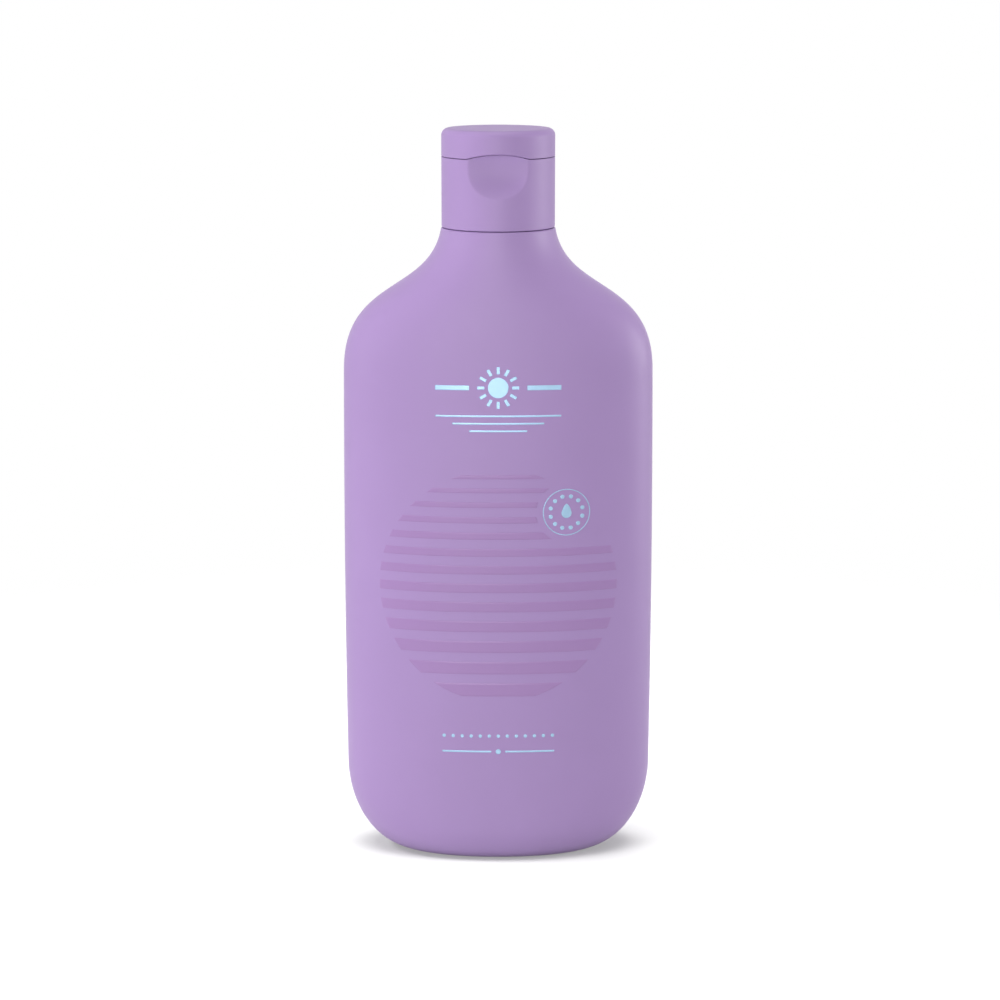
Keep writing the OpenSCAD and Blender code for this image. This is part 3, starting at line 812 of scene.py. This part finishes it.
def white_table(bounce, shown, glow, clear_from, clear_to):
    """A white table that sends back the share bounce of the lamps' light. Where it is seen, shown and glow
    make it white except in the shadow, and from clear_from to clear_to it gives way to the background."""
    material = bpy.data.materials.new("table_white")
    material.use_nodes = True
    tree = material.node_tree
    nodes, links = tree.nodes, tree.links
    nodes.remove(nodes["Principled BSDF"])
    direct = seen_directly(tree)
    shares = []
    for level in (bounce, shown):
        matt = nodes.new("ShaderNodeBsdfDiffuse")
        matt.inputs["Color"].default_value = (level, level, level, 1)
        shares.append(matt.outputs["BSDF"])
    light = nodes.new("ShaderNodeEmission")
    light.inputs["Strength"].default_value = glow
    both = nodes.new("ShaderNodeAddShader")
    links.new(shares[1], both.inputs[0])
    links.new(light.outputs["Emission"], both.inputs[1])
    solid = nodes.new("ShaderNodeMixShader")
    links.new(direct, solid.inputs["Fac"])
    links.new(shares[0], solid.inputs[1])
    links.new(both.outputs["Shader"], solid.inputs[2])
    distance = nodes.new("ShaderNodeVectorMath")
    distance.operation = "LENGTH"
    links.new(nodes.new("ShaderNodeTexCoord").outputs["Object"], distance.inputs[0])
    edge = nodes.new("ShaderNodeMapRange")
    edge.interpolation_type = "SMOOTHSTEP"
    edge.inputs["From Min"].default_value = clear_from
    edge.inputs["From Max"].default_value = clear_to
    links.new(distance.outputs["Value"], edge.inputs["Value"])
    gone = nodes.new("ShaderNodeMath")
    gone.operation = "MULTIPLY"
    links.new(edge.outputs["Result"], gone.inputs[0])
    links.new(direct, gone.inputs[1])
    faded = nodes.new("ShaderNodeMixShader")
    links.new(gone.outputs["Value"], faded.inputs["Fac"])
    links.new(solid.outputs["Shader"], faded.inputs[1])
    links.new(nodes.new("ShaderNodeBsdfTransparent").outputs["BSDF"], faded.inputs[2])
    links.new(faded.outputs["Shader"], nodes["Material Output"].inputs["Surface"])
    return material


table_white = white_table(bounce=0.18, shown=0.4, glow=0.26, clear_from=0.14, clear_to=0.3)
table_top.data.materials.append(table_white)
middle_z = 0.085


def softbox(name, azimuth, elevation, width, height, power, distance=1.0, glossy=True):
    """A rectangular lamp that faces the bottle's middle. Azimuth is 0 in front and grows to the right. A
    lamp that isn't glossy shows in no reflection."""
    lamp = bpy.data.lights.new(name, "AREA")
    lamp.shape = "RECTANGLE"
    lamp.size, lamp.size_y, lamp.energy = width, height, power
    box = bpy.data.objects.new(name, lamp)
    a, e = math.radians(azimuth), math.radians(elevation)
    out = distance * math.cos(e)
    box.location = (out * math.sin(a), -out * math.cos(a), middle_z + distance * math.sin(e))
    box.rotation_euler = (math.pi / 2 - e, 0, a)
    box.visible_glossy = glossy
    bpy.context.scene.collection.objects.link(box)
    return box


softbox("left_lamp", -80, 2, 0.5, 0.5, 3.3, glossy=False)
softbox("key_lamp", -60, 2, 0.5, 0.5, 4.6, glossy=False)
softbox("front_lamp", -10, 4, 0.4, 0.4, 2.8)
softbox("strip_lamp", 3, 4, 0.24, 0.36, 0.6)
softbox("thin_strip_lamp", 20, 4, 0.1, 0.36, 0.2)
softbox("right_lamp", 95, 2, 0.5, 0.5, 6.2)
softbox("top_lamp", 0, 85, 0.5, 0.5, 4.1)
softbox("back_lamp", 180, 5, 0.5, 0.5, 5.0, glossy=False)
only_table = bpy.data.collections.new("only_table")
only_table.objects.link(table_top)
table_lamps = [softbox("table_top_lamp", 0, 88, 1.0, 1.0, 25),
               softbox("table_left_lamp", -90, 40, 0.3, 0.3, 8.7, distance=1.2)]
for table_lamp in table_lamps:
    table_lamp.light_linking.receiver_collection = only_table

ambient = 0.15
world = bpy.data.worlds.new("studio")
bpy.context.scene.world = world
world.use_nodes = True
sky = world.node_tree.nodes["Background"]
sky.inputs["Color"].default_value = (1, 1, 1, 1)
level = world.node_tree.nodes.new("ShaderNodeMapRange")
level.inputs["To Min"].default_value = ambient
level.inputs["To Max"].default_value = 1.0
world.node_tree.links.new(seen_directly(world.node_tree), level.inputs["Value"])
world.node_tree.links.new(level.outputs["Result"], sky.inputs["Strength"])

lens_mm = 97.16
eye = bpy.data.objects.new("eye", bpy.data.cameras.new("eye"))
eye.data.lens = lens_mm
eye.data.sensor_width = 36
eye.data.clip_start, eye.data.clip_end = 0.01, 20
eye.location = (0.0004, -0.60968, 0.20676)
eye.rotation_euler = (math.radians(78.472), 0, 0)
bpy.context.scene.collection.objects.link(eye)
bpy.context.scene.camera = eye
bpy.context.scene.view_settings.view_transform = "Standard"
